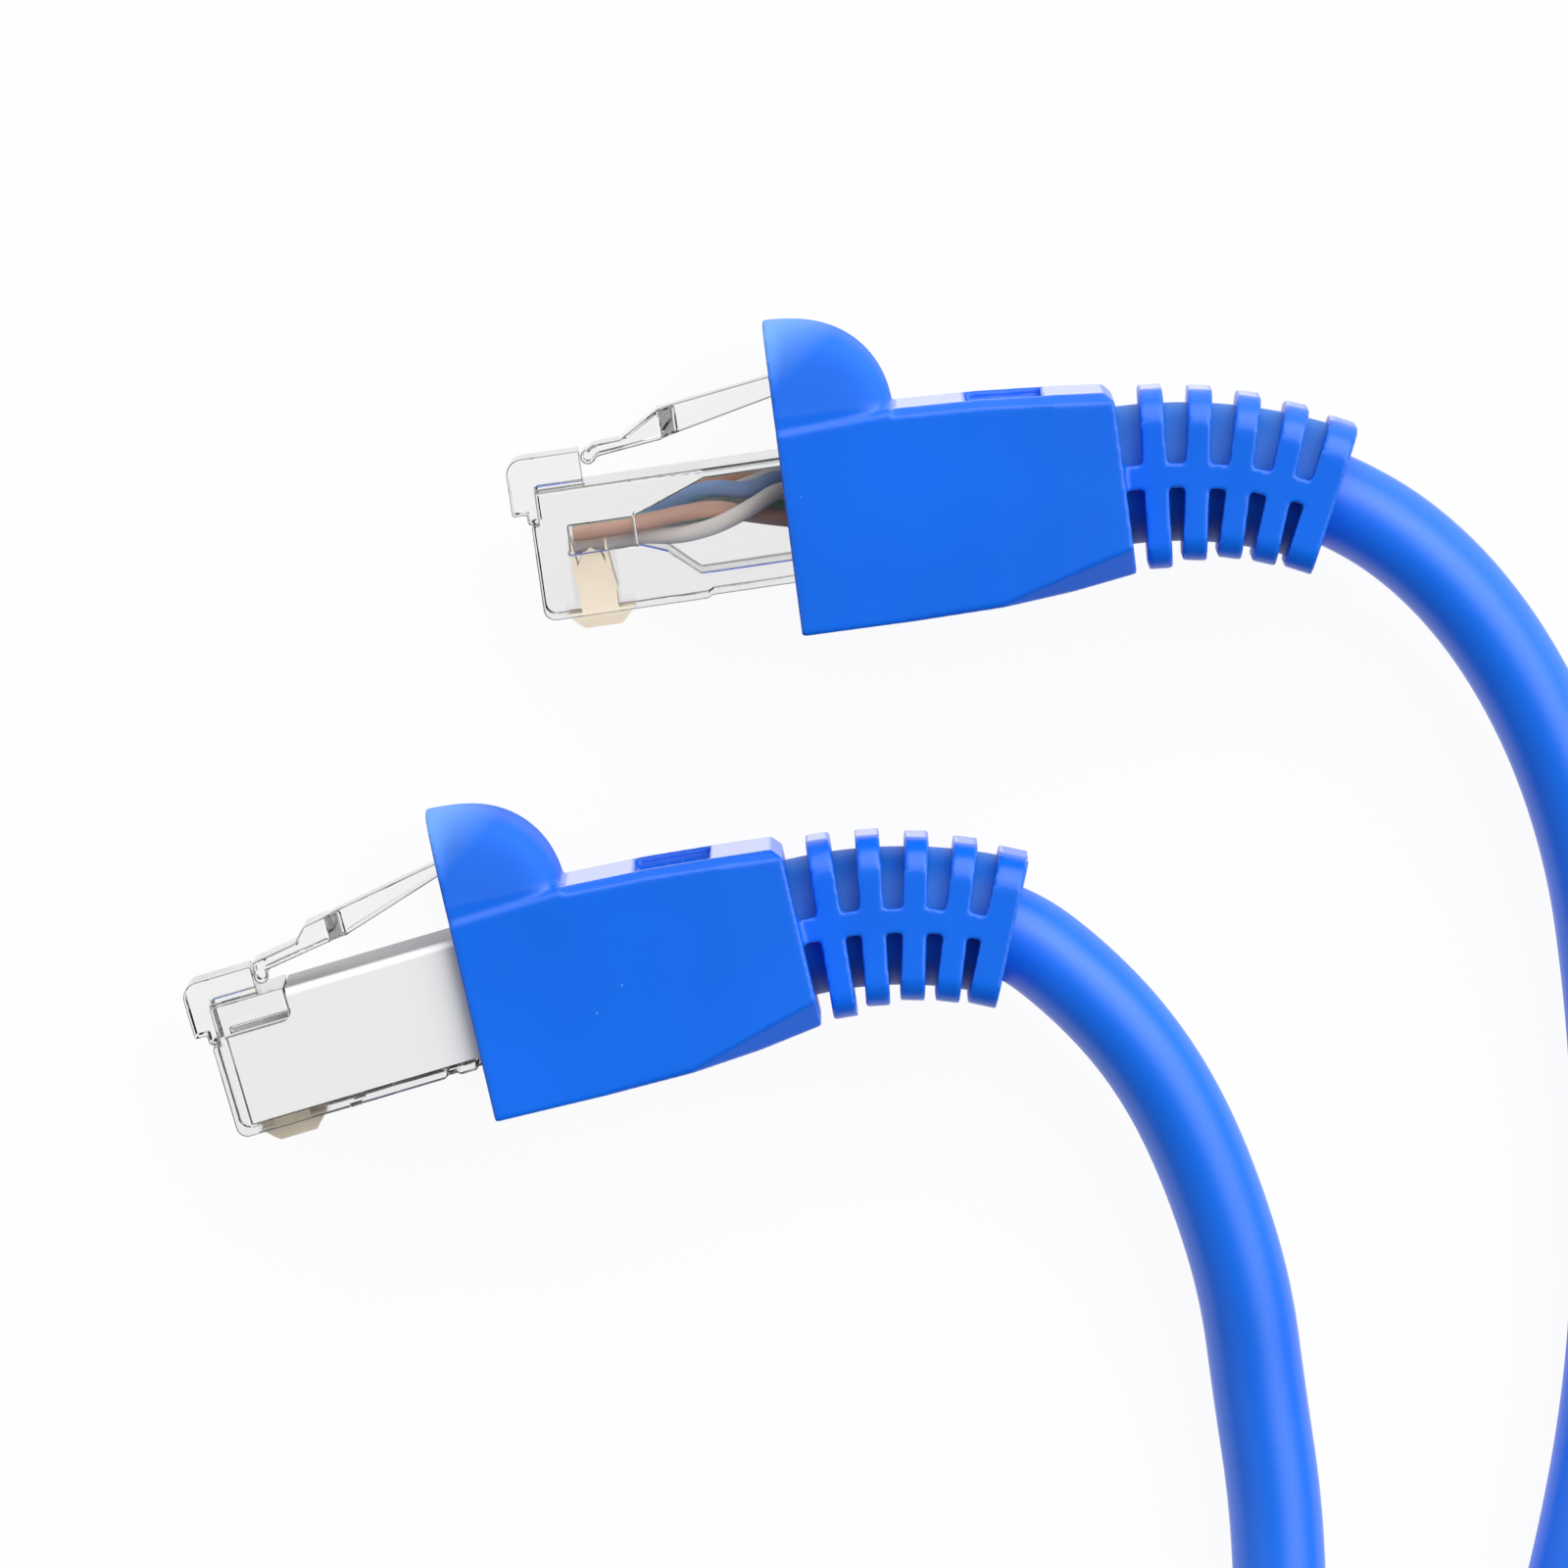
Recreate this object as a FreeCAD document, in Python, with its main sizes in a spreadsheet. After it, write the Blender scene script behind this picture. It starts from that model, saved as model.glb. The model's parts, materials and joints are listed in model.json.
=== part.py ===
"""Ethernet patch cable: two modular plugs in snagless boots, joined by one round cord.

Millimetres. The cable lies on its side on the plane z = 0, with both plugs pointing towards -X and their
latches towards +Y. The origin is under the middle of the two plugs and their boots.
Plug pieces are drawn in a plug frame: X along the plug from its front face, Y from its contact face towards
the latch, Z across its width. Boot pieces are drawn in a boot frame: X along the boot from its front edge,
Y from its lower front corner, Z across its width.
"""
import FreeCAD, Part
import math
import os
import Sketcher

Vector = FreeCAD.Vector
Rotation = FreeCAD.Rotation
Placement = FreeCAD.Placement

DIMENSIONS = {
    # Plug bodies
    "body_length": 21.46,
    "body_width": 11.68,
    "body_height": 6.6,
    "shielded_core_width": 11.1,
    "rear_start": 13.3,
    "rear_depth": 0.9,
    "root_width": 6.2,
    "root_end": 2.9,
    "root_lead_a": 0.95,
    "root_lead_b": 0.85,
    "root_top_a": 8.3,
    "root_top_b": 8.2,
    "cavity_width": 9.6,
    "channel_width": 8.3,
    # Contacts and wires
    "contact_pitch": 1.02,
    "contact_thickness": 0.32,
    "slot_width": 0.42,
    "contact_drop": 0.7,
    "wire_radius": 0.43,
    "core_radius": 0.25,
    "wire_row_low": 3.6,
    "wire_row_high": 4.2,
    # Latch
    "latch_width": 6.0,
    "latch_tail_width": 3.25,
    "latch_knuckle": 0.38,
    "latch_pivot_along": 3.32,
    "latch_pivot_a": 7.92,
    "latch_pivot_b": 7.56,
    # Shield
    "shield_sheet": 0.25,
    "shield_front": 0.9,
    "shield_length": 20.5,
    "shield_low": 0.6,
    "shield_top": 6.8,
    # Boot
    "boot_length": 17.35,
    "boot_front": 6.0,
    "boot_half_width": 6.8,
    "box_front_tall": 10.56,
    "box_tall": 10.93,
    "box_low_round": 0.15,
    "box_high_round": 0.45,
    "boot_pocket_depth": 13.2,
    "boot_pocket_width": 12.3,
    "boot_pocket_low": 1.3,
    "boot_pocket_high": 10.1,
    "boot_axis": 5.75,
    "relief_bend": 23.0,
    "ring_count": 5,
    "ring_first": 1.6,
    "ring_pitch": 2.15,
    "ring_thickness": 1.25,
    "last_ring_thickness": 1.5,
    "ring_width": 9.6,
    "ring_high_round": 2.0,
    "ring_low_round": 1.3,
    "spine_thickness": 1.25,
    # Hood
    "hood_along": 6.1,
    "hood_tall": 5.4,
    "hood_across": 6.5,
    "hood_wall": 1.1,
    "hood_base": 10.62,
    "hood_pivot_along": 6.25,
    "hood_pivot_tall": 11.15,
    "hood_press": 21.0,
    "hood_pad_start": 0.5,
    "hood_pad_tall": 13.85,
    "hood_pad_length": 3.0,
    "hood_pad_height": 1.6,
    "hood_pad_across": 3.6,
    "hood_pad_inset": 0.3,
    # Sleeve and cord
    "sleeve_radius": 3.56,
    "sleeve_bore": 2.45,
    "cord_radius": 2.4,
    "jacket_start": 3.4,
    "jacket_bore": 2.0,
    "jacket_strip": 3.2,
    "wire_ring": 1.3,
    # Stored coil
    "coil_radius": 24.0,
    "coil_lift": 0.5,
    "tie_sheet": 0.5,
    "tie_width": 6.0,
}

# Where each plug and boot lies: place of its frame on the plane, and its turn about Z in degrees
PLUG_PLACES = {"a": (-11.54, 5.68, 8.3), "b": (-27.18, -20.80, 16.4)}
BOOT_PLACES = {"a": (1.58, 4.98, 7.5), "b": (-14.09, -19.85, 13.3)}

# Lowest and highest point of each ring about the cord's middle line, from the boot to the cord
RING_REACH = ((-4.8, 4.43), (-4.4, 4.36), (-4.15, 4.22), (-4.1, 4.08), (-4.0, 3.9))

# Side profile of each latch about its pivot: underside to the tail's end, then back over the catch
LATCH_PROFILES = {
    "a": ((0, -0.3), (0.6, -0.03), (3.8, 0.33), (9.43, 1.58), (12.1, 2.15), (12.1, 2.95), (9.6, 2.69),
          (3.86, 1.9), (1.71, 0.63), (0.3, 0.56), (0, 0.38)),
    "b": ((0, -0.3), (0.2, 0.2), (3.9, 0.78), (4.7, 0.8), (10.05, 2.45), (12.1, 2.75), (12.1, 3.28),
          (9.91, 3.12), (2.75, 1.88), (2.09, 1.16), (-0.3, 0.76), (-0.3, 0)),
}

# Pin number: middle of its wire (height, across) at each station along the plug
WIRE_STATIONS = (5.3, 7.4, 9.4, 11.2, 12.9)
WIRE_ROUTES = {
    1: ((3.60, -3.57), (4.30, -2.90), (4.80, -2.00), (4.30, -1.60), (4.00, -1.70)),
    2: ((4.20, -2.55), (5.00, -1.90), (5.55, -1.00), (5.55, -0.90), (5.45, -1.10)),
    3: ((3.60, -1.53), (3.90, -1.20), (4.20, -0.30), (4.40, -0.45), (4.60, -0.60)),
    4: ((4.20, -0.51), (5.05, 0.10), (5.45, 1.30), (4.95, 1.45), (5.50, 1.10)),
    5: ((3.60, 0.51), (4.05, 0.65), (4.75, 0.40), (5.25, 0.30), (5.60, 0.05)),
    6: ((4.20, 1.53), (4.30, 1.90), (4.10, 1.15), (3.90, 0.50), (3.90, 0.35)),
    7: ((3.60, 2.55), (3.25, 2.90), (3.50, 2.90), (4.15, 2.60), (4.95, 2.10)),
    8: ((4.20, 3.57), (4.40, 3.15), (4.40, 2.20), (3.75, 1.50), (3.30, 1.50)),
}
WIRE_ENDS = {7: 22.5, 4: 67.5, 5: 112.5, 2: 157.5, 1: 202.5, 3: 247.5, 6: 292.5, 8: 337.5}

# Route of the cord from each boot to the coil: x, y and height of its middle
CORD_A_ROUTE = (
    (28.82, 11.79, 6.80), (32.20, 9.89, 6.75), (35.33, 7.01, 6.30), (38.08, 3.26, 5.60),
    (40.48, -1.54, 4.80), (42.18, -7.04, 3.95), (42.98, -12.34, 3.20), (43.53, -18.64, 2.70),
    (43.73, -26.64, 2.45), (42.98, -36.64, 2.40), (40.58, -47.64, 2.40), (36.88, -58.94, 2.40),
    (32.98, -69.94, 2.50), (30.18, -80.54, 2.70), (28.88, -89.64, 2.90), (28.78, -97.14, 2.90),
)
CORD_B_ROUTE = (
    (12.32, -10.33, 6.80), (15.48, -12.69, 6.75), (18.53, -15.84, 6.30), (20.96, -19.59, 5.50),
    (22.93, -24.24, 4.60), (24.43, -29.24, 3.80), (25.13, -34.54, 3.10), (26.03, -40.44, 2.65),
    (26.28, -47.14, 2.50), (24.98, -54.44, 3.10), (21.38, -61.54, 5.20), (15.38, -67.24, 7.40),
    (7.58, -70.34, 7.60), (-0.02, -70.74, 7.06),
)
COIL_CENTRE = (-0.02, -97.14)
TIE_DIRECTION = -115.0

doc = FreeCAD.newDocument("ethernet_patch_cable")
sheet = doc.addObject("Spreadsheet::Sheet", "Dims")
for row, (alias, size) in enumerate(DIMENSIONS.items(), start=1):
    sheet.set(f"A{row}", alias)
    sheet.set(f"B{row}", str(size))
    sheet.setAlias(f"B{row}", alias)
doc.recompute()

parts = {}


def dim(alias):
    """Size held by the sheet under this alias."""
    return float(sheet.get(alias))


def number(term):
    """Value of a number or of an expression over the sheet."""
    if isinstance(term, str):
        return float(sheet.evalExpression(term))
    return float(term)


def frame_of(place):
    """Placement of a plug or boot frame, with its middle plane half a boot above the floor."""
    x, y, turn = place
    return Placement(Vector(x, y, dim("boot_half_width")), Rotation(Vector(0, 0, 1), turn))


def keep(label, item, placement):
    """Label an object as the sub-part of that name and put it in its place."""
    item.Label = label
    item.Placement = placement
    parts[label] = item
    return item


# ---------------------------------------------------------------- PartDesign helpers


def new_body(name):
    return doc.addObject("PartDesign::Body", name)


def new_sketch(body, name, role="XY_Plane", offset=None):
    """Sketch on one of the body's own origin planes."""
    plane = [item for item in body.Origin.OriginFeatures if item.Role == role][0]
    sketch = body.newObject("Sketcher::SketchObject", name)
    sketch.AttachmentSupport = [(plane, "")]
    sketch.MapMode = "FlatFace"
    if offset is not None:
        sketch.AttachmentOffset = offset
    return sketch


def bind(sketch, kind, first, second, term):
    """Add a distance constraint and bind it to the sheet when the term is an expression."""
    index = sketch.addConstraint(Sketcher.Constraint(kind, *first, *second, number(term)))
    if isinstance(term, str):
        sketch.setExpression(f"Constraints[{index}]", term)


def draw_outline(sketch, points):
    """Closed outline of straight lines, every corner placed from the sketch's origin."""
    first = sketch.GeometryCount
    corners = [Vector(number(x), number(y), 0) for x, y in points]
    count = len(corners)
    for index in range(count):
        sketch.addGeometry(Part.LineSegment(corners[index], corners[(index + 1) % count]), False)
    for index in range(count):
        following = first + (index + 1) % count
        sketch.addConstraint(Sketcher.Constraint("Coincident", first + index, 2, following, 1))
    for index, (x, y) in enumerate(points):
        bind(sketch, "DistanceX", (-1, 1), (first + index, 1), x)
        bind(sketch, "DistanceY", (-1, 1), (first + index, 1), y)


def draw_circle(sketch, x, y, radius):
    index = sketch.GeometryCount
    sketch.addGeometry(Part.Circle(Vector(number(x), number(y), 0), Vector(0, 0, 1), number(radius)), False)
    bind(sketch, "DistanceX", (-1, 1), (index, 3), x)
    bind(sketch, "DistanceY", (-1, 1), (index, 3), y)
    bind(sketch, "Radius", (index,), (), radius)


def draw_rounded_box(sketch, low, high, wide, low_round, high_round):
    """Rounded rectangle from low to high in x: one radius for its low corners and one for its high."""
    corners = (
        (high - high_round, wide - high_round, high_round, 0),
        (low + low_round, wide - low_round, low_round, 90),
        (low + low_round, low_round - wide, low_round, 180),
        (high - high_round, high_round - wide, high_round, 270),
    )
    first = sketch.GeometryCount
    ends = []
    for x, y, radius, start in corners:
        circle = Part.Circle(Vector(x, y, 0), Vector(0, 0, 1), radius)
        arc = Part.ArcOfCircle(circle, math.radians(start), math.radians(start + 90))
        sketch.addGeometry(arc, False)
        ends.append((arc.StartPoint, arc.EndPoint))
    for index in range(4):
        following = (index + 1) % 4
        sketch.addGeometry(Part.LineSegment(ends[index][1], ends[following][0]), False)
        sketch.addConstraint(Sketcher.Constraint("Coincident", first + index, 2, first + 4 + index, 1))
        sketch.addConstraint(Sketcher.Constraint("Coincident", first + 4 + index, 2, first + following, 1))


def set_length(feature, length):
    if isinstance(length, str):
        feature.setExpression("Length", length)
    else:
        feature.Length = length


def pad(body, sketch, length, both_ways=True):
    """Add material, half of it on each side of the sketch unless both_ways is false."""
    feature = body.newObject("PartDesign::Pad", sketch.Name + "_pad")
    feature.Profile = sketch
    set_length(feature, length)
    feature.Midplane = both_ways
    doc.recompute()
    return feature


def pocket(body, sketch, length, both_ways=True, backwards=False):
    """Remove material, and make sure that some was removed."""
    before = body.Shape.Volume
    feature = body.newObject("PartDesign::Pocket", sketch.Name + "_pocket")
    feature.Profile = sketch
    set_length(feature, length)
    feature.Midplane = both_ways
    feature.Reversed = backwards
    doc.recompute()
    if body.Shape.Volume > before - 1e-6:
        raise RuntimeError(sketch.Name + " cuts nothing")
    return feature


def edges_through(shape, points, direction):
    """Names of the straight edges along a direction that pass through any of the points."""
    names = []
    for index, edge in enumerate(shape.Edges, start=1):
        if edge.Curve.TypeId != "Part::GeomLine":
            continue
        along = edge.tangentAt(edge.FirstParameter)
        if abs(along.dot(direction)) < 0.999:
            continue
        for point in points:
            offset = point - edge.Vertexes[0].Point
            if (offset - along * offset.dot(along)).Length < 0.02:
                names.append(f"Edge{index}")
                break
    return names


def fillet(body, name, points, radius, direction=Vector(0, 0, 1)):
    """Round the edges that run along a direction through the points."""
    names = edges_through(body.Shape, points, direction)
    if not names:
        raise RuntimeError(name + " finds no edge")
    base = body.Tip
    feature = body.newObject("PartDesign::Fillet", name)
    feature.Base = (base, names)
    feature.Radius = radius
    doc.recompute()
    if feature.Shape.isNull():
        raise RuntimeError(name + " could not be rounded")
    return feature


# ---------------------------------------------------------------- paths and tubes


def rounded_wire(points, share=0.45):
    """Straight runs joined by tangent arcs that are as large as the shorter run beside them allows."""
    edges = []
    start = points[0]
    for before, corner, after in zip(points, points[1:], points[2:]):
        to_corner = corner - before
        from_corner = after - corner
        reach = share * min(to_corner.Length, from_corner.Length)
        into = Vector(to_corner).normalize()
        out = Vector(from_corner).normalize()
        turn = into.getAngle(out)
        radius = reach / math.tan(turn / 2)
        inwards = (out - into).normalize()
        middle = corner + inwards * (radius / math.cos(turn / 2) - radius)
        arc_start = corner - into * reach
        arc_end = corner + out * reach
        edges.append(Part.LineSegment(start, arc_start).toShape())
        edges.append(Part.Arc(arc_start, middle, arc_end).toShape())
        start = arc_end
    edges.append(Part.LineSegment(start, points[-1]).toShape())
    return Part.Wire(edges)


def sweep(name, path, radius):
    """Round bar along a path object."""
    first_edge = path.Shape.Edges[0]
    start = first_edge.FirstParameter
    profile = doc.addObject("Part::Circle", name + "_profile")
    profile.setExpression("Radius", radius)
    square_to_path = Rotation(Vector(0, 0, 1), first_edge.tangentAt(start))
    profile.Placement = Placement(first_edge.valueAt(start), square_to_path)
    bar = doc.addObject("Part::Sweep", name)
    bar.Sections = [profile]
    bar.Spine = (path, [f"Edge{index}" for index in range(1, len(path.Shape.Edges) + 1)])
    bar.Solid = True
    doc.recompute()
    return bar


def new_path(name, wire):
    path = doc.addObject("Part::Feature", name)
    path.Shape = wire
    return path


def cut(name, base, tool):
    result = doc.addObject("Part::Cut", name)
    result.Base = base
    result.Tool = tool
    doc.recompute()
    return result


# ---------------------------------------------------------------- plug pieces


def wire_point(pin, station):
    height, across = WIRE_ROUTES[pin][station]
    return Vector(WIRE_STATIONS[station], height, across)


def make_housing(side):
    """Clear moulded block with its latch root, contact slots, wire channel and cable cavity."""
    shielded = side == "b"
    body = new_body("housing_" + side)
    block = new_sketch(body, "block_" + side)
    top = 6.5 if shielded else "Dims.body_height"
    draw_outline(block, (
        (0, 0), (8.4, 0), (8.7, 0.14), ("Dims.rear_start", 0.14), ("Dims.rear_start", "-Dims.rear_depth"),
        ("Dims.body_length", "-Dims.rear_depth"), ("Dims.body_length", top), (0.4, top), (0.4, 4.9), (0, 4.9),
    ))
    pad(body, block, "Dims.shielded_core_width" if shielded else "Dims.body_width")
    if not shielded:
        half = dim("body_width") / 2
        high = dim("body_height")
        long_edges = [Vector(0, high, half), Vector(0, high, -half)]
        fillet(body, "nose_round_" + side, [Vector(0, 0, 0)], 0.6)
        fillet(body, "side_round_" + side, long_edges, 0.25, Vector(1, 0, 0))
    else:
        frame = new_sketch(body, "frame_" + side)
        draw_outline(frame, (
            (0, 0), (6.0, 0), (6.0, 0.08), (6.5, 0.08), (6.5, 0), (11.0, 0), (11.2, 0.25), (11.6, 0.25),
            (11.8, 0), (12.7, 0), (12.7, 0.56), (0.86, 0.56), (0.86, 5.2), (4.3, 5.2), (4.3, 6.85),
            (0.4, 6.85), (0.4, 4.9), (0, 4.9),
        ))
        pad(body, frame, "Dims.body_width")
    root = new_sketch(body, "root_" + side)
    lead = "-Dims.root_lead_" + side
    root_top = "Dims.root_top_" + side
    draw_outline(root, (
        (lead, 5.4), (-0.2, 5.4), (-0.2, 4.9), (0.6, 4.9), (0.6, 6.3), ("Dims.root_end", 6.3),
        ("Dims.root_end", root_top), (lead, root_top),
    ))
    pad(body, root, "Dims.root_width")
    if shielded:
        fillet(body, "nose_round_" + side, [Vector(0, 0, 0)], 0.6)
    fillet(body, "root_round_" + side, [Vector(-dim("root_lead_" + side), dim("root_top_" + side), 0)], 0.8)
    cavity = new_sketch(body, "cavity_" + side)
    draw_outline(cavity, (
        (5.2, 3.2), (6.7, 2.6), (8.2, 1.25), ("Dims.rear_start", 1.25), (14.0, 0),
        ("Dims.body_length + 1", 0), ("Dims.body_length + 1", 6.15), (9.0, 6.15), (6.2, 5.1), (5.2, 4.75),
    ))
    pocket(body, cavity, "Dims.cavity_width")
    channel = new_sketch(body, "channel_" + side)
    draw_outline(channel, ((1.7, 3.1), (5.6, 3.1), (5.6, 4.7), (1.7, 4.7)))
    pocket(body, channel, "Dims.channel_width")
    first_slot = Placement(Vector(0, 0, -3.5 * dim("contact_pitch")), Rotation())
    slot = new_sketch(body, "slot_" + side, offset=first_slot)
    draw_outline(slot, (
        (1.08, -1), (4.7, -1), (4.7, 0.5), (4.02, 0.5), (4.02, 3.3), (1.62, 3.3), (1.62, 0.5), (1.08, 0.5),
    ))
    slot_pocket = pocket(body, slot, "Dims.slot_width")
    pattern = body.newObject("PartDesign::LinearPattern", "slots_" + side)
    pattern.Originals = [slot_pocket]
    pattern.Direction = (slot, ["N_Axis"])
    pattern.setExpression("Length", "7 * Dims.contact_pitch")
    pattern.Occurrences = 8
    before = body.Shape.Volume
    body.Tip = pattern
    doc.recompute()
    if body.Shape.Volume > before - 1:
        raise RuntimeError("contact slots were not repeated")
    keep("housing_" + side, body, plug_frames[side])


def make_latch(side):
    """Springy tab: a knuckle at its root, a wide neck with two catches and a narrow thumb tail."""
    body = new_body("latch_" + side)
    profile = new_sketch(body, "latch_profile_" + side)
    pivot_along = dim("latch_pivot_along")
    draw_outline(profile, LATCH_PROFILES[side])
    pad(body, profile, "Dims.latch_width")
    for sign in (-1, 1):
        word = "near" if sign > 0 else "far"
        trim = new_sketch(body, f"latch_trim_{word}_{side}", "XZ_Plane")
        inner = f"{-sign} * Dims.latch_tail_width / 2"
        outer = -sign * 4
        draw_outline(trim, ((3.95, outer), (13, outer), (13, inner), (4.6, inner), (3.95, -sign * 2.7)))
        pocket(body, trim, 10)
    knuckle = new_sketch(body, "latch_knuckle_" + side)
    draw_circle(knuckle, 0, 0, "Dims.latch_knuckle")
    pad(body, knuckle, "Dims.latch_width")
    lean = 0 if side == "a" else -1.0
    pivot = Placement(Vector(pivot_along, dim("latch_pivot_" + side), 0), Rotation(Vector(0, 0, 1), lean))
    keep("latch_" + side, body, plug_frames[side] * pivot)


def make_contact(side, pin):
    """Gold-plated blade with a crowned foot and two insulation-piercing spikes."""
    label = f"contact_{side}{pin}"
    body = new_body(label)
    profile = new_sketch(body, f"blade_{side}{pin}")
    row = "Dims.wire_row_low" if pin % 2 else "Dims.wire_row_high"
    tip = f"{row} - Dims.core_radius - 0.02"
    valley = f"{row} - Dims.wire_radius - 0.7"
    draw_outline(profile, (
        (1.18, 0.14), (1.92, 0.14), (1.92, 1.0), (1.74, 2.1), (1.84, tip), (2.04, 2.5), (2.32, valley),
        (2.79, f"{valley} + 0.3"), (3.28, valley), (3.46, 2.5), (3.6, tip), (3.74, 2.1), (3.9, 1.15),
        (3.8, 1.0), (3.8, 0.14), (4.6, 0.14), (4.56, -0.02), (4.08, -0.5), (3.9, "-Dims.contact_drop"),
        (1.98, "-Dims.contact_drop"), (1.72, -0.5), (1.2, -0.02),
    ))
    pad(body, profile, "Dims.contact_thickness")
    across = (pin - 4.5) * dim("contact_pitch")
    keep(label, body, plug_frames[side] * Placement(Vector(0, 0, across), Rotation()))


def make_wires(side):
    """Eight insulated wires, each with its copper core, from the contacts back into the cord's jacket."""
    to_plug = plug_frames[side].inverse() * boot_frames[side]
    mouth = dim("jacket_start") - 0.5
    inside = dim("jacket_start") + dim("jacket_strip") - 0.3
    ring = dim("wire_ring")
    cores = []
    for pin in range(1, 9):
        height, across = WIRE_ROUTES[pin][0]
        points = [Vector(2.0, height, across)]
        points += [wire_point(pin, station) for station in range(len(WIRE_STATIONS))]
        angle = math.radians(WIRE_ENDS[pin])
        for along in (mouth, inside):
            place = Vector(along, dim("boot_axis") + ring * math.sin(angle), ring * math.cos(angle))
            points.append(to_plug.multVec(place))
        path = new_path(f"wire_path_{side}{pin}", rounded_wire(points))
        outside = sweep(f"wire_outside_{side}{pin}", path, "Dims.wire_radius")
        core = sweep(f"wire_core_{side}{pin}", path, "Dims.core_radius")
        keep(f"wire_{side}{pin}", cut(f"wire_{side}{pin}", outside, core), plug_frames[side])
        cores.append(core)
    group = doc.addObject("Part::Compound", "copper_cores_" + side)
    group.Links = cores
    doc.recompute()
    keep("copper_cores_" + side, group, plug_frames[side])


def make_shield():
    """Folded sheet shell round the sides and top of the shielded plug, with a clamp for the cord."""
    body = new_body("shield_b")
    start = Placement(Vector(0, 0, dim("shield_front")), Rotation())
    section = new_sketch(body, "shield_section", "YZ_Plane", start)
    side = "Dims.body_width / 2"
    inner = "Dims.body_width / 2 - Dims.shield_sheet"
    under = "Dims.shield_top - Dims.shield_sheet"
    draw_outline(section, (
        ("Dims.shield_low", "-" + side), ("Dims.shield_top", "-" + side), ("Dims.shield_top", side),
        ("Dims.shield_low", side), ("Dims.shield_low", inner), (under, inner), (under, f"-({inner})"),
        ("Dims.shield_low", f"-({inner})"),
    ))
    pad(body, section, "Dims.shield_length", both_ways=False)
    half = dim("body_width") / 2
    top = dim("shield_top")
    fillet(body, "shield_bend", [Vector(0, top, half), Vector(0, top, -half)], 0.45, Vector(1, 0, 0))
    window = new_sketch(body, "shield_window")
    draw_outline(window, ((0, 5.15), (4.4, 5.15), (4.4, 8), (0, 8)))
    pocket(body, window, 14)
    fillet(body, "window_round", [Vector(4.4, 5.15, 0)], 0.6)
    strap = new_sketch(body, "shield_strap")
    draw_outline(strap, ((21.3, 6.55), (21.3, 6.8), (21.7, 6.8), (23.0, 5.4), (23.0, 5.16), (21.6, 6.55)))
    pad(body, strap, 4.0)
    clamp = new_sketch(body, "shield_clamp", "YZ_Plane", Placement(Vector(0, 0, 22.6), Rotation()))
    draw_circle(clamp, 2.38, 0, 3.02)
    draw_circle(clamp, 2.38, 0, 2.77)
    pad(body, clamp, 2.6, both_ways=False)
    keep("shield_b", body, plug_frames["b"])


def make_drain_wire():
    """Bare drain wire folded back along the cord under the shield's clamp."""
    points = [Vector(20.7, 4.6, 2.3), Vector(22.1, 4.24, 1.86), Vector(25.6, 4.2, 1.83)]
    path = new_path("drain_path", rounded_wire(points))
    drain = sweep("drain_wire_b", path, "Dims.core_radius * 0.6")
    keep("drain_wire_b", drain, plug_frames["b"])


# ---------------------------------------------------------------- boot pieces

# Box sections: along, top, bottom, half width, top bevel, bottom bevel
BOX_SECTIONS = (
    ("Dims.boot_front", "Dims.box_tall", 0.02, "Dims.boot_half_width", 0.45, 0.15),
    (10.4, 10.8, 0.12, 6.79, 0.45, 0.2),
    (14.0, 10.56, 0.42, 6.73, 0.5, 0.95),
    ("Dims.boot_length", 10.28, 0.9, 6.62, 0.55, 1.4),
)


def box_section(body, name, section):
    along, top, bottom, half, top_bevel, bottom_bevel = section
    top = number(top)
    offset = Placement(Vector(0, 0, number(along)), Rotation())
    sketch = new_sketch(body, name, "YZ_Plane", offset)
    draw_outline(sketch, (
        (bottom, f"-({half}) + {bottom_bevel}"), (bottom + bottom_bevel, f"-({half})"),
        (top - top_bevel, f"-({half})"), (top, f"-({half}) + {top_bevel}"),
        (top, f"{half} - {top_bevel}"), (top - top_bevel, f"{half}"),
        (bottom + bottom_bevel, f"{half}"), (bottom, f"{half} - {bottom_bevel}"),
    ))
    return sketch


def relief_point(length):
    """Point and downward turn in degrees of the strain relief's middle line, this far behind the box."""
    bend = dim("relief_bend")
    turn = length / bend
    x = dim("boot_length") + bend * math.sin(turn)
    y = dim("boot_axis") - bend * (1 - math.cos(turn))
    return Vector(x, y, 0), math.degrees(turn)


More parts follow.
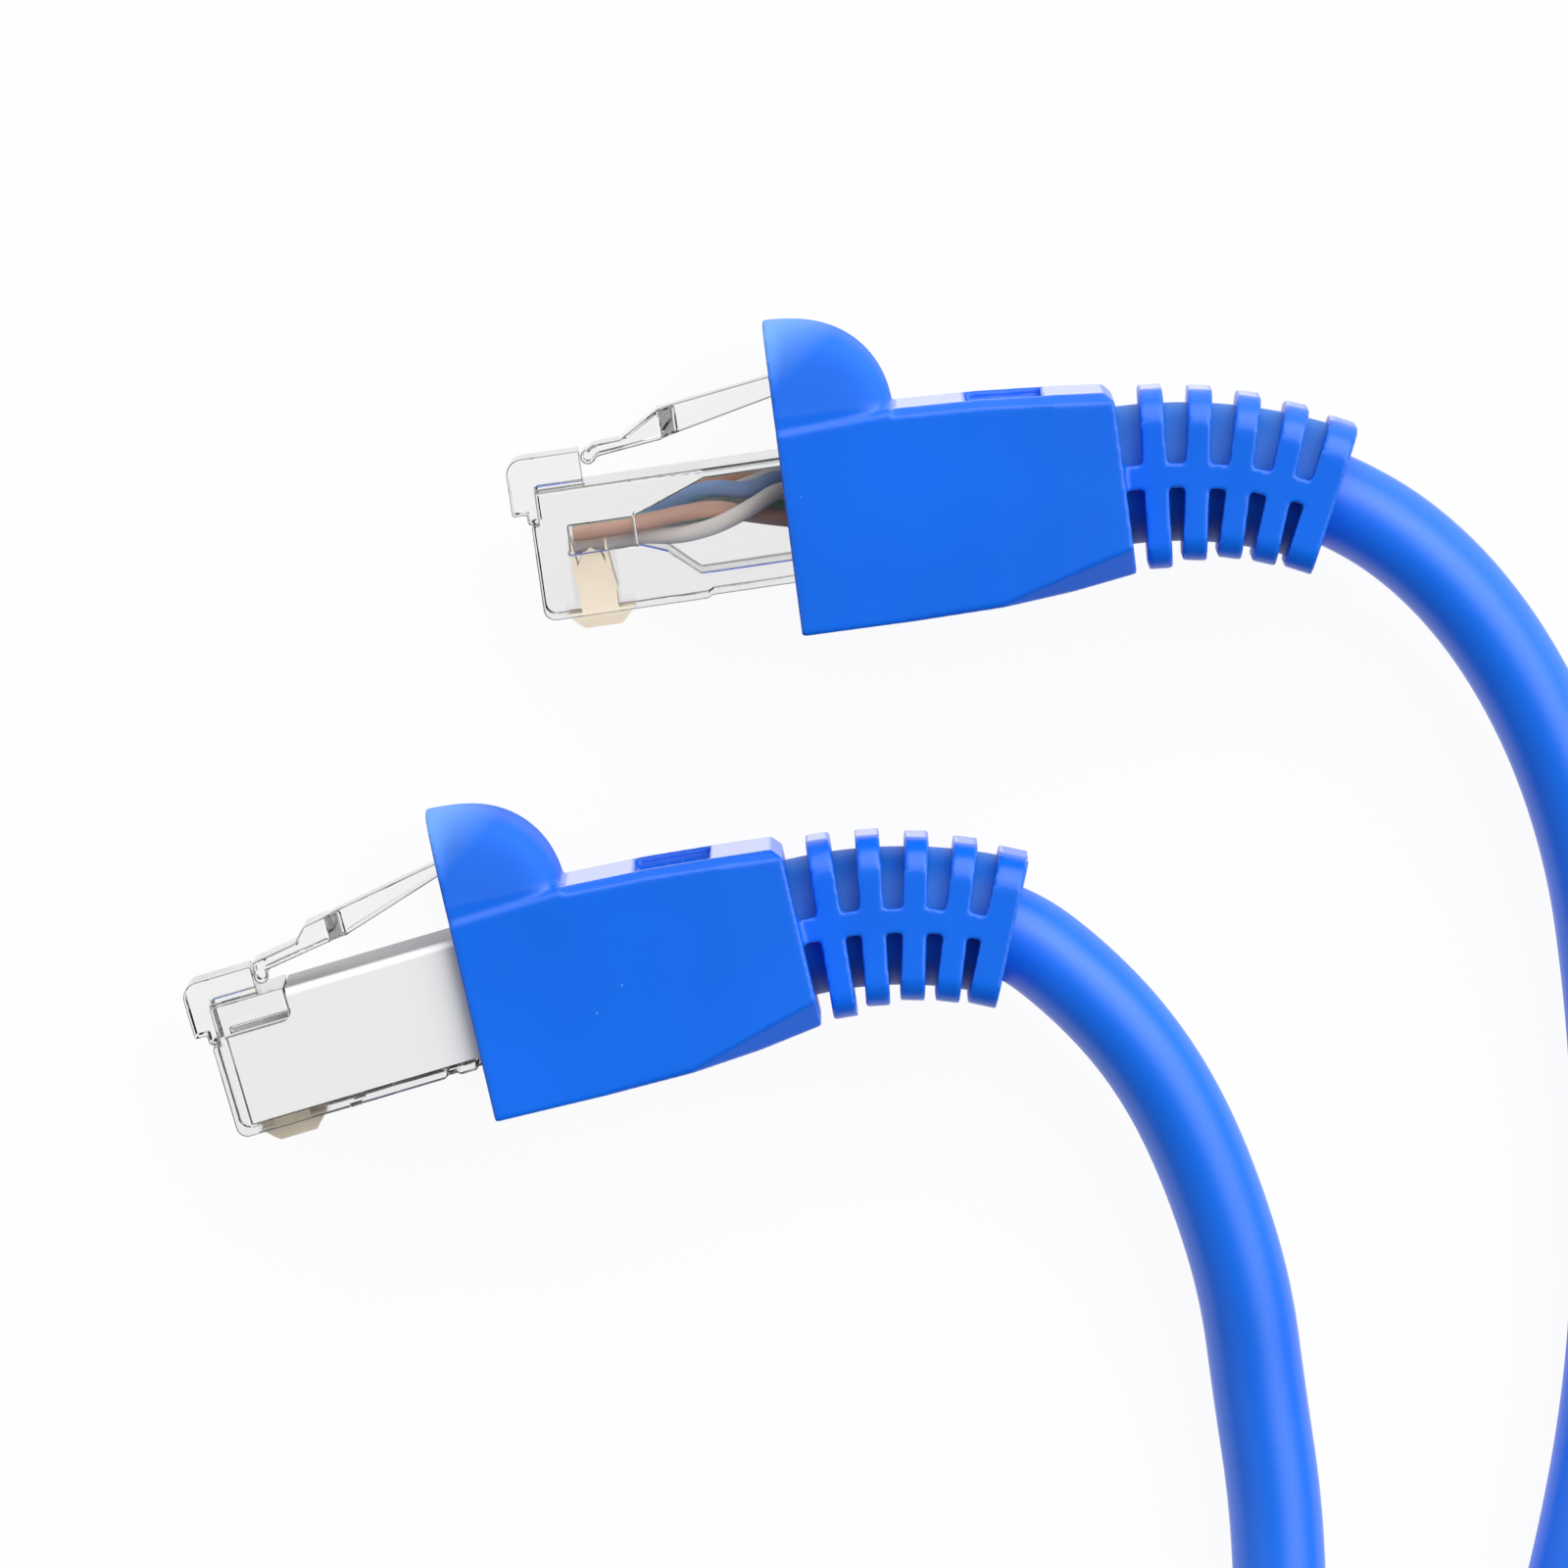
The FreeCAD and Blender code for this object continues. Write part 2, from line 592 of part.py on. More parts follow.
def make_boot(side):
    """Soft boot: hollow box over the plug's rear, and a slotted strain relief of rings and two spines."""
    body = new_body("boot_" + side)
    front = new_sketch(body, "box_front_" + side)
    draw_outline(front, (
        (0, 0), ("Dims.boot_front", 0.02), ("Dims.boot_front", "Dims.box_tall"), (0, "Dims.box_front_tall"),
    ))
    pad(body, front, "2 * Dims.boot_half_width")
    half = dim("boot_half_width")
    tall = dim("box_front_tall")
    upper_edge = Vector(dim("boot_front"), dim("box_tall") - tall, 0).normalize()
    low_corners = [Vector(0, 0, half), Vector(0, 0, -half)]
    high_corners = [Vector(0, tall, half), Vector(0, tall, -half)]
    fillet(body, "box_low_round_" + side, low_corners, dim("box_low_round"), Vector(1, 0, 0))
    fillet(body, "box_high_round_" + side, high_corners, dim("box_high_round"), upper_edge)
    sections = []
    for index, section in enumerate(BOX_SECTIONS):
        sections.append(box_section(body, f"box_{index}_{side}", section))
    loft = body.newObject("PartDesign::AdditiveLoft", "box_loft_" + side)
    loft.Profile = sections[0]
    loft.Sections = sections[1:]
    loft.Ruled = True
    doc.recompute()
    hollow = new_sketch(body, "hollow_" + side)
    draw_outline(hollow, (
        (-1, "Dims.boot_pocket_low"), ("Dims.boot_pocket_depth", "Dims.boot_pocket_low"),
        ("Dims.boot_pocket_depth", "Dims.boot_pocket_high - 0.2"), (9.5, "Dims.boot_pocket_high"),
        (-1, "Dims.boot_pocket_high"),
    ))
    pocket(body, hollow, "Dims.boot_pocket_width")
    latch_slot = new_sketch(body, "latch_slot_" + side)
    draw_outline(latch_slot, ((-1, 9), (3.8, 9), (3.8, 12), (-1, 12)))
    pocket(body, latch_slot, 5.2)
    shoulder = new_sketch(body, "rear_shoulder_" + side)
    draw_outline(shoulder, ((16.85, 10.36), (17.37, 9.78), (17.6, 9.78), (17.6, 10.7), (16.85, 10.7)))
    pocket(body, shoulder, 14)
    grip = new_sketch(body, "grip_recess_" + side)
    draw_outline(grip, ((9.8, 10.3), (13.7, 10.05), (13.7, 12), (9.8, 12)))
    pocket(body, grip, 11.8)
    bore = new_sketch(body, "bore_" + side, "YZ_Plane", Placement(Vector(0, 0, 12.5), Rotation()))
    draw_circle(bore, "Dims.boot_axis", 0, "Dims.sleeve_radius + 0.02")
    pocket(body, bore, 6, both_ways=False, backwards=True)
    spine_points = band_outline()
    spine = new_sketch(body, "spine_" + side)
    draw_outline(spine, spine_points)
    pad(body, spine, "Dims.ring_width")
    spine_gap = new_sketch(body, "spine_gap_" + side)
    draw_outline(spine_gap, [(x - (0.05 if index in (0, len(spine_points) - 1) else 0), y)
                             for index, (x, y) in enumerate(spine_points)])
    pocket(body, spine_gap, "2 * Dims.sleeve_radius + 0.04")
    for ring in range(int(dim("ring_count"))):
        make_ring(body, side, ring)
    keep("boot_" + side, body, boot_frames[side])


def band_outline():
    """Outline of the curved spine band, from the box's rear face to the last ring."""
    steps = 6
    end = dim("ring_first") + (dim("ring_count") - 1) * dim("ring_pitch")
    upper = []
    lower = []
    for step in range(steps + 1):
        middle, turn = relief_point(end * step / steps)
        outwards = Vector(math.sin(math.radians(turn)), math.cos(math.radians(turn)), 0)
        half = outwards * (dim("spine_thickness") / 2)
        upper.append(middle + half)
        lower.append(middle - half)
    outline = [(point.x, point.y) for point in upper]
    outline += [(point.x, point.y) for point in reversed(lower)]
    return outline


def make_ring(body, side, ring):
    """One ring of the strain relief, square to its curved middle line."""
    middle, turn = relief_point(dim("ring_first") + ring * dim("ring_pitch"))
    offset = Placement(Vector(middle.y, 0, middle.x), Rotation(Vector(0, 1, 0), -turn))
    sketch = new_sketch(body, f"ring_{ring}_{side}", "YZ_Plane", offset)
    low, high = RING_REACH[ring]
    draw_rounded_box(sketch, low, high, dim("ring_width") / 2, dim("ring_low_round"), dim("ring_high_round"))
    draw_circle(sketch, 0, 0, "Dims.sleeve_radius + 0.02")
    pad(body, sketch, "Dims.last_ring_thickness" if ring == dim("ring_count") - 1 else "Dims.ring_thickness")


def ellipsoid(name, inset, base):
    """Ellipsoid of the hood, set in by a thickness; centred over the hood's base at the boot's front."""
    item = doc.addObject("Part::Ellipsoid", name)
    item.setExpression("Radius2", "Dims.hood_along - " + inset)
    item.setExpression("Radius3", "Dims.hood_tall - " + inset)
    item.setExpression("Radius1", "Dims.hood_across - " + inset)
    item.Placement = Placement(Vector(0, base, 0), Rotation())
    return item


def make_block(name, corner, size, placement=None):
    item = doc.addObject("Part::Box", name)
    item.Length, item.Width, item.Height = size
    local = Placement(Vector(*corner), Rotation())
    item.Placement = local if placement is None else placement * local
    return item


def make_hood(side):
    """Domed cover over the latch: a crown that is pressed, and the soft skirt that gives way under it."""
    base = dim("hood_base")
    outer = ellipsoid("hood_outer_" + side, "0 * Dims.hood_wall", base)
    inner = ellipsoid("hood_inner_" + side, "Dims.hood_wall", base)
    shell = cut("hood_shell_" + side, outer, inner)
    pivot = Vector(dim("hood_pivot_along"), dim("hood_pivot_tall"), 0)
    split = Placement(pivot, Rotation(Vector(0, 0, 1), -dim("hood_press")))
    above = make_block("hood_above_" + side, (-12, 0, -10), (12, 10, 20), split)
    front = make_block("hood_front_" + side, (0, base, -10), (8, 8, 20))
    crown_space = doc.addObject("Part::Common", "hood_crown_space_" + side)
    crown_space.Base = above
    crown_space.Tool = front
    crown_shell = doc.addObject("Part::Common", "hood_crown_shell_" + side)
    crown_shell.Base = shell
    crown_shell.Tool = crown_space
    pad_half = dim("hood_pad_across") / 2
    pad_corner = (dim("hood_pad_start"), dim("hood_pad_tall"), -pad_half)
    pad_size = (dim("hood_pad_length"), dim("hood_pad_height"), 2 * pad_half)
    pad_block = make_block("hood_pad_block_" + side, pad_corner, pad_size)
    pad_inside = doc.addObject("Part::Common", "hood_pad_inside_" + side)
    pad_inside.Base = ellipsoid("hood_fill_" + side, "Dims.hood_pad_inset", base)
    pad_inside.Tool = pad_block
    crown = doc.addObject("Part::Fuse", "hood_" + side)
    crown.Base = crown_shell
    crown.Tool = pad_inside
    doc.recompute()
    keep("hood_" + side, crown, boot_frames[side])
    low = make_block("hood_low_" + side, (0, base + 0.36, -10), (8, 8, 20))
    over = make_block("hood_over_" + side, (-12, -0.03, -10), (12, 12, 20), split)
    skirt_space = cut("hood_skirt_space_" + side, low, over)
    skirt = doc.addObject("Part::Common", "hood_skirt_" + side)
    skirt.Base = shell
    skirt.Tool = skirt_space
    doc.recompute()
    keep("hood_skirt_" + side, skirt, boot_frames[side])


def relief_path(start, end):
    """Wire along the boot's axis from start, then round the strain relief to end, a length behind the box."""
    rear = Vector(dim("boot_length"), dim("boot_axis"), 0)
    half_way, _ = relief_point(end / 2)
    tip, _ = relief_point(end)
    straight = Part.LineSegment(Vector(start, dim("boot_axis"), 0), rear).toShape()
    return Part.Wire([straight, Part.Arc(rear, half_way, tip).toShape()])


def relief_end():
    last_ring = dim("ring_first") + (dim("ring_count") - 1) * dim("ring_pitch")
    return last_ring + dim("last_ring_thickness") / 2


def make_sleeve(side):
    """Inner sleeve that grips the cord inside the strain relief."""
    path = new_path("sleeve_path_" + side, relief_path(dim("boot_pocket_depth") + 0.1, relief_end()))
    outside = sweep("sleeve_outside_" + side, path, "Dims.sleeve_radius")
    inside = sweep("sleeve_inside_" + side, path, "Dims.sleeve_bore")
    keep("sleeve_" + side, cut("sleeve_" + side, outside, inside), boot_frames[side])


def make_jacket_end(side):
    """End of the cord's jacket, from inside the plug to the mouth of the strain relief."""
    path = new_path("jacket_path_" + side, relief_path(dim("jacket_start"), relief_end()))
    bar = sweep("jacket_bar_" + side, path, "Dims.cord_radius")
    strip = doc.addObject("Part::Cylinder", "jacket_strip_" + side)
    strip.setExpression("Radius", "Dims.jacket_bore")
    strip.setExpression("Height", "Dims.jacket_strip")
    start = Vector(dim("jacket_start"), dim("boot_axis"), 0)
    strip.Placement = Placement(start, Rotation(Vector(0, 1, 0), 90))
    keep("jacket_end_" + side, cut("jacket_end_" + side, bar, strip), boot_frames[side])


# ---------------------------------------------------------------- free cord


def make_cord(side, route):
    """Free stretch of the cord from the mouth of the boot to the coil."""
    path = new_path("cord_path_" + side, rounded_wire([Vector(*point) for point in route]))
    bar = sweep("cord_bar_" + side, path, "Dims.cord_radius")
    keep("cord_" + side, bar, Placement())


def coil_outline(grow):
    """Outline of two layers of turns, three below and two above, grown outwards by a distance."""
    radius = dim("coil_radius")
    thick = 2 * dim("cord_radius")
    low = dim("coil_lift")
    high = low + thick * (1 + math.sqrt(3) / 2)
    wide = 1.5 * thick + grow
    narrow = thick + grow
    shoulder = low + 0.75 * thick
    return ((radius - wide, low - grow), (radius + wide, low - grow), (radius + wide, shoulder),
            (radius + narrow, high + grow), (radius - narrow, high + grow), (radius - wide, shoulder))


def make_coil():
    """Outer shape of the stored turns of the cord."""
    body = new_body("cord_coil")
    sketch = new_sketch(body, "coil_section", "XZ_Plane")
    draw_outline(sketch, coil_outline(0.05))
    ring = body.newObject("PartDesign::Revolution", "coil_ring")
    ring.Profile = sketch
    ring.ReferenceAxis = (sketch, ["V_Axis"])
    ring.Angle = 360
    doc.recompute()
    keep("cord_coil", body, Placement(Vector(*COIL_CENTRE, 0), Rotation()))


def make_tie():
    """Strap that holds the stored turns together."""
    body = new_body("coil_tie")
    sketch = new_sketch(body, "tie_section", "XZ_Plane")
    draw_outline(sketch, coil_outline(dim("tie_sheet")))
    pad(body, sketch, "Dims.tie_width")
    opening = new_sketch(body, "tie_opening", "XZ_Plane")
    draw_outline(opening, coil_outline(0.06))
    pocket(body, opening, "Dims.tie_width + 1")
    keep("coil_tie", body, Placement(Vector(*COIL_CENTRE, 0), Rotation(Vector(0, 0, 1), TIE_DIRECTION)))


# ---------------------------------------------------------------- build, check and write

plug_frames = {side: frame_of(place) for side, place in PLUG_PLACES.items()}
boot_frames = {side: frame_of(place) for side, place in BOOT_PLACES.items()}

for side in ("a", "b"):
    make_housing(side)
    make_latch(side)
    for pin in range(1, 9):
        make_contact(side, pin)
    make_wires(side)
    make_boot(side)
    make_hood(side)
    make_sleeve(side)
    make_jacket_end(side)
make_shield()
make_drain_wire()
make_cord("a", CORD_A_ROUTE)
make_cord("b", CORD_B_ROUTE)
make_coil()
make_tie()
doc.recompute()

for item in doc.Objects:
    if "Invalid" in item.State or "Error" in item.State:
        raise RuntimeError(item.Name + " did not recompute")
os.makedirs("parts", exist_ok=True)
box = FreeCAD.BoundBox()
for label, item in parts.items():
    shape = item.Shape
    if shape.isNull() or not shape.isValid():
        raise RuntimeError(label + " has no valid shape")
    shape.exportStep(f"parts/{label}.step")
    if not label.startswith(("cord_", "coil_")):
        box.add(shape.BoundBox)
print(len(parts), "sub-parts; plugs and boots reach", box)
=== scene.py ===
"""Looks of the ethernet patch cable: two plugs in blue boots on a pale floor, and one cord between them."""
import json
import math

import bmesh
import bpy
from mathutils import Matrix, Vector


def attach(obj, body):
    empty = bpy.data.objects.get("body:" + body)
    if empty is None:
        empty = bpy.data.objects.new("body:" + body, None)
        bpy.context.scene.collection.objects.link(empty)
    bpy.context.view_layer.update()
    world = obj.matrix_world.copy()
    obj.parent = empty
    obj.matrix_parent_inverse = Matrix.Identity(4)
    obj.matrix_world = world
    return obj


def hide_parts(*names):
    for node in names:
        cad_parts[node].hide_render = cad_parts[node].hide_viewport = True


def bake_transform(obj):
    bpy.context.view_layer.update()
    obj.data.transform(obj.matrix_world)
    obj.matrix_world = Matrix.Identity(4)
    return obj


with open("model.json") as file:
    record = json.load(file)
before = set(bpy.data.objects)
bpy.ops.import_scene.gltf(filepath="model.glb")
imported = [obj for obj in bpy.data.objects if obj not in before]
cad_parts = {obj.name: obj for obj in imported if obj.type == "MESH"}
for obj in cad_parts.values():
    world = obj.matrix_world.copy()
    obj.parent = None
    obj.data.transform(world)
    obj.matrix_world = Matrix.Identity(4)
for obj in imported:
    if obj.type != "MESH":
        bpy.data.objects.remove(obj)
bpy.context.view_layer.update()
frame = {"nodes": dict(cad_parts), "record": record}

MM = 0.001
nodes = frame["nodes"]

# Frames of the boots and plugs, as in the model: x, y in millimetres and the turn in degrees
BOOT_PLACES = {"a": (1.58, 4.98, 7.5), "b": (-14.09, -19.85, 13.3)}
PLUG_PLACES = {"a": (-11.54, 5.68, 8.3), "b": (-27.18, -20.80, 16.4)}
BOOT_HALF_WIDTH = 6.8


def place_matrix(place):
    x, y, turn = place
    lift = Matrix.Translation(Vector((x, y, BOOT_HALF_WIDTH)) * MM)
    return lift @ Matrix.Rotation(math.radians(turn), 4, "Z")


boot_frames = {side: place_matrix(place) for side, place in BOOT_PLACES.items()}
plug_frames = {side: place_matrix(place) for side, place in PLUG_PLACES.items()}


# ---------------------------------------------------------------- camera

CAMERA_TARGET = Vector((0.64, -2.54, 13.6))
CAMERA_PLACE = Vector((0.64, 66.0, 1300.0))
VIEW_WIDTH = 80.0

camera_data = bpy.data.cameras.new("camera")
camera = bpy.data.objects.new("camera", camera_data)
bpy.context.scene.collection.objects.link(camera)
camera.location = CAMERA_PLACE * MM
camera_line = CAMERA_TARGET - CAMERA_PLACE
camera.rotation_euler = (math.atan2(camera_line.y, -camera_line.z), 0.0, 0.0)
camera_data.sensor_width = 36.0
camera_data.lens = camera_data.sensor_width * (CAMERA_PLACE - CAMERA_TARGET).length / VIEW_WIDTH
camera_data.clip_start = 0.01
camera_data.clip_end = 20.0
bpy.context.scene.camera = camera


# ---------------------------------------------------------------- helpers


def link(name, mesh_or_curve):
    item = bpy.data.objects.new(name, mesh_or_curve)
    bpy.context.scene.collection.objects.link(item)
    return item


def new_material(name, **inputs):
    """Principled material and its node tree, nodes and shader; inputs set the shader's own sockets."""
    material = bpy.data.materials.new(name)
    material.use_nodes = True
    shader = material.node_tree.nodes["Principled BSDF"]
    for socket, value in inputs.items():
        shader.inputs[socket.replace("_", " ")].default_value = value
    return material


def add(material, kind, **settings):
    node = material.node_tree.nodes.new(kind)
    for name, value in settings.items():
        if name in node.inputs:
            node.inputs[name].default_value = value
        else:
            setattr(node, name, value)
    return node


def join(material, from_socket, to_socket):
    material.node_tree.links.new(from_socket, to_socket)


def shader_of(material):
    return material.node_tree.nodes["Principled BSDF"]


def noise(material, scale, detail=3.0, roughness=0.5):
    """Noise in the row's own frame; scale is in cycles per metre."""
    place = add(material, "ShaderNodeTexCoord")
    texture = add(material, "ShaderNodeTexNoise")
    texture.inputs["Scale"].default_value = scale
    texture.inputs["Detail"].default_value = detail
    texture.inputs["Roughness"].default_value = roughness
    join(material, place.outputs["Object"], texture.inputs["Vector"])
    return texture.outputs["Fac"]


def remap(material, source, low, high, to_low, to_high):
    node = add(material, "ShaderNodeMapRange")
    join(material, source, node.inputs["Value"])
    node.inputs["From Min"].default_value = low
    node.inputs["From Max"].default_value = high
    node.inputs["To Min"].default_value = to_low
    node.inputs["To Max"].default_value = to_high
    return node.outputs["Result"]


def mix_colour(material, factor, first, second):
    node = add(material, "ShaderNodeMix", data_type="RGBA")
    for socket, value in ((node.inputs[0], factor), (node.inputs[6], first), (node.inputs[7], second)):
        if isinstance(value, bpy.types.NodeSocket):
            join(material, value, socket)
        else:
            socket.default_value = value
    return node.outputs[2]


def bump(material, height, distance, strength=1.0, after=None):
    node = add(material, "ShaderNodeBump")
    node.inputs["Strength"].default_value = strength
    node.inputs["Distance"].default_value = distance
    join(material, height, node.inputs["Height"])
    if after is not None:
        join(material, after, node.inputs["Normal"])
    return node.outputs["Normal"]


def srgb(red, green, blue, alpha=1.0):
    """Linear colour from 0-255 display values."""
    def linear(value):
        value /= 255.0
        return value / 12.92 if value <= 0.04045 else ((value + 0.055) / 1.055) ** 2.4
    return (linear(red), linear(green), linear(blue), alpha)


# ---------------------------------------------------------------- materials


def make_boot_blue():
    """Soft PVC: even blue, with a painted highlight in paler blue on the upper front of the hood's lip,
    glossier on the latch's side of the box.
    """
    material = new_material("boot_blue_pvc", IOR=1.5)
    shader = shader_of(material)
    shade = remap(material, noise(material, 90.0, 2.0), 0.35, 0.65, 0.0, 1.0)
    colour = mix_colour(material, shade, srgb(3, 104, 232), srgb(6, 110, 242))
    # Painted highlight: the lip attribute turns the hood's upper front lip pale blue.
    lip = add(material, "ShaderNodeAttribute", attribute_name="lip")
    colour = mix_colour(material, lip.outputs["Fac"], colour, srgb(104, 164, 250))
    specks = remap(material, noise(material, 2300.0, 1.0), 0.82, 0.85, 0.0, 0.6)
    colour = mix_colour(material, specks, colour, srgb(120, 175, 250))
    join(material, colour, shader.inputs["Base Color"])
    rough = add(material, "ShaderNodeAttribute", attribute_name="rough")
    join(material, rough.outputs["Fac"], shader.inputs["Roughness"])
    grain = bump(material, noise(material, 1400.0, 2.0), 0.00002, 0.2)
    grain = bump(material, noise(material, 160.0, 1.0), 0.0001, 0.15, grain)
    join(material, grain, shader.inputs["Normal"])
    return material


def make_sleeve_blue():
    """Inner sleeve seen through the slots: darker and greyer than the boot round it."""
    material = new_material("sleeve_blue_pvc", Roughness=0.5, IOR=1.45)
    shader = shader_of(material)
    shade = remap(material, noise(material, 200.0, 2.0), 0.35, 0.65, 0.0, 1.0)
    colour = mix_colour(material, shade, srgb(10, 112, 200), srgb(16, 126, 218))
    join(material, colour, shader.inputs["Base Color"])
    join(material, bump(material, noise(material, 300.0, 1.0), 0.0001, 0.2), shader.inputs["Normal"])
    return material


def make_cord_blue():
    """Extruded jacket: satin gloss with a slight unevenness along its length."""
    material = new_material("cord_blue_pvc", Roughness=0.38, IOR=1.6)
    shader = shader_of(material)
    shade = remap(material, noise(material, 60.0, 2.0), 0.35, 0.65, 0.0, 1.0)
    colour = mix_colour(material, shade, srgb(4, 107, 236), srgb(8, 115, 248))
    join(material, colour, shader.inputs["Base Color"])
    grain = bump(material, noise(material, 900.0, 2.0), 0.00002, 0.2)
    grain = bump(material, noise(material, 110.0, 1.0), 0.00012, 0.25, grain)
    join(material, grain, shader.inputs["Normal"])
    return material


def make_clear():
    """Moulded polycarbonate: grey where it is thick, with painted shade darkening its slanting edges and
    greying its walls seen edge-on; lamps shine through.
    """
    material = new_material("clear_polycarbonate", Roughness=0.04, IOR=1.45, Transmission_Weight=1.0)
    shader = shader_of(material)
    slant = add(material, "ShaderNodeLayerWeight", Blend=0.5)
    # Painted shade by facing: slanting edges turn dark and walls seen edge-on turn grey.
    painted_slant_shade = remap(material, slant.outputs["Facing"], 0.06, 0.3, 0.0, 1.0)
    painted_edge_on_shade = remap(material, slant.outputs["Facing"], 0.78, 0.94, 0.0, 1.0)
    painted_shade_colour = mix_colour(material, painted_slant_shade, (0.99, 0.99, 0.99, 1), (0.16, 0.16, 0.16, 1))
    join(material, mix_colour(material, painted_edge_on_shade, painted_shade_colour, (0.72, 0.72, 0.72, 1)), shader.inputs["Base Color"])
    join(material, bump(material, noise(material, 350.0, 1.0), 0.0001, 0.15), shader.inputs["Normal"])
    path = add(material, "ShaderNodeLightPath")
    through = add(material, "ShaderNodeBsdfTransparent")
    through.inputs["Color"].default_value = (0.98, 0.98, 0.98, 1)
    either = add(material, "ShaderNodeMixShader")
    join(material, path.outputs["Is Shadow Ray"], either.inputs[0])
    join(material, shader.outputs[0], either.inputs[1])
    join(material, through.outputs[0], either.inputs[2])
    smoke = add(material, "ShaderNodeVolumeAbsorption")
    smoke.inputs["Color"].default_value = (0, 0, 0, 1)
    smoke.inputs["Density"].default_value = 9.0
    output = material.node_tree.nodes["Material Output"]
    join(material, either.outputs[0], output.inputs["Surface"])
    join(material, smoke.outputs[0], output.inputs["Volume"])
    return material


def make_plain(name, colour, roughness, metallic=0.0, grain=900.0, depth=0.00002, vary=0.85):
    material = new_material(name, Roughness=roughness, Metallic=metallic)
    shader = shader_of(material)
    dark = tuple(channel * vary for channel in colour[:3]) + (1.0,)
    shade = remap(material, noise(material, grain * 0.3, 2.0), 0.35, 0.65, 0.0, 1.0)
    join(material, mix_colour(material, shade, dark, colour), shader.inputs["Base Color"])
    join(material, bump(material, noise(material, grain, 2.0), depth, 0.3), shader.inputs["Normal"])
    return material


def make_nickel():
    """Nickel-plated sheet: bright on its flats, with painted grey shade along its bends."""
    material = new_material("nickel_plate", Roughness=0.4, Metallic=0.2)
    shader = shader_of(material)
    slant = add(material, "ShaderNodeLayerWeight", Blend=0.5)
    # Painted shade: grey where the sheet slants away, along its bends.
    painted_bend_shade = remap(material, slant.outputs["Facing"], 0.25, 0.85, 0.0, 1.0)
    join(material, mix_colour(material, painted_bend_shade, srgb(247, 247, 247), srgb(150, 150, 152)),
         shader.inputs["Base Color"])
    join(material, bump(material, noise(material, 300.0, 2.0), 0.00003, 0.3), shader.inputs["Normal"])
    return material


boot_blue = make_boot_blue()
cord_blue = make_cord_blue()
sleeve_blue = make_sleeve_blue()
clear = make_clear()
gold = make_plain("gold_plating", srgb(250, 236, 214), 0.4, 0.25)
copper = make_plain("copper", srgb(200, 120, 80), 0.3, 1.0)
nickel = make_nickel()
tinned = make_plain("tinned_wire", srgb(190, 190, 190), 0.35, 1.0)
tie_cloth = make_plain("tie_cloth", srgb(35, 35, 38), 0.9, grain=2500.0, depth=0.0001)
wire_materials = {
    "wire_white": make_plain("wire_white", srgb(246, 240, 236), 0.45),
    "wire_orange": make_plain("wire_orange", srgb(250, 190, 155), 0.45),
    "wire_green": make_plain("wire_green", srgb(150, 200, 165), 0.45),
    "wire_blue": make_plain("wire_blue", srgb(150, 180, 232), 0.45),
    "wire_brown": make_plain("wire_brown", srgb(222, 178, 160), 0.45),
}


def dress(item, material):
    item.data.materials.clear()
    item.data.materials.append(material)
    for polygon in item.data.polygons:
        polygon.material_index = 0


slots = {entry["node"]: entry["material_slot"] for entry in frame["record"]["subparts"]}
looks = {
    "clear_plastic": clear, "gold_plating": gold, "copper": copper, "boot_blue": boot_blue,
    "jacket_blue": cord_blue, "shield_metal": nickel, "tinned_wire": tinned, "tie_black": tie_cloth,
    **wire_materials,
}
for name, item in nodes.items():
    dress(item, sleeve_blue if name.startswith("sleeve") else looks[slots[name]])


HOUSING_RADIUS = 0.12 * MM
LATCH_RADIUS = 0.16 * MM
SHARP_ANGLE = math.radians(35)
FLAT_ANGLE = math.radians(1)
JOIN_DISTANCE = 1e-6
# Lowest and highest corner of the contact slots' walls in the plug frame, whose thin edges stay sharp
SLOTS_LOW = (0.9, -0.1, -4.3)
SLOTS_HIGH = (4.9, 3.45, 4.3)


def in_slots(point, to_plug):
    local = to_plug @ point / MM
    return all(low < value < high for low, value, high in zip(SLOTS_LOW, local, SLOTS_HIGH))


# Plastic round the six inner contacts, in the plug frame
INNER_LOW = (1.0, 0.03, -3.06)
INNER_HIGH = (4.8, 3.05, 3.06)


def joined_mesh(name):
    """CAD node's mesh with its split corners joined."""
    mesh = bmesh.new()
    mesh.from_mesh(nodes[name].data)
    bmesh.ops.remove_doubles(mesh, verts=mesh.verts, dist=JOIN_DISTANCE)
    return mesh


def fill_inner_slots(mesh, side):
    """Moulds the plastic round the six inner contacts, so that light crosses fewer walls."""
    raw = bpy.data.meshes.new("housing_raw_" + side)
    mesh.to_mesh(raw)
    mesh.clear()
    low, high = Vector(INNER_LOW) * MM, Vector(INNER_HIGH) * MM
    size = high - low
    place = plug_frames[side] @ Matrix.Translation((low + high) / 2) @ Matrix.Diagonal((*size, 1.0))
    bmesh.ops.create_cube(mesh, size=1.0, matrix=place)
    block = bpy.data.meshes.new("inner_block_" + side)
    mesh.to_mesh(block)
    mesh.clear()
    housing_item, block_item = link("housing_raw_" + side, raw), link("inner_block_" + side, block)
    union = housing_item.modifiers.new("fill", "BOOLEAN")
    union.operation = "UNION"
    union.solver = "EXACT"
    union.object = block_item
    graph = bpy.context.evaluated_depsgraph_get()
    mesh.from_object(housing_item, graph)
    bpy.data.objects.remove(housing_item)
    bpy.data.objects.remove(block_item)
    bmesh.ops.remove_doubles(mesh, verts=mesh.verts, dist=JOIN_DISTANCE)


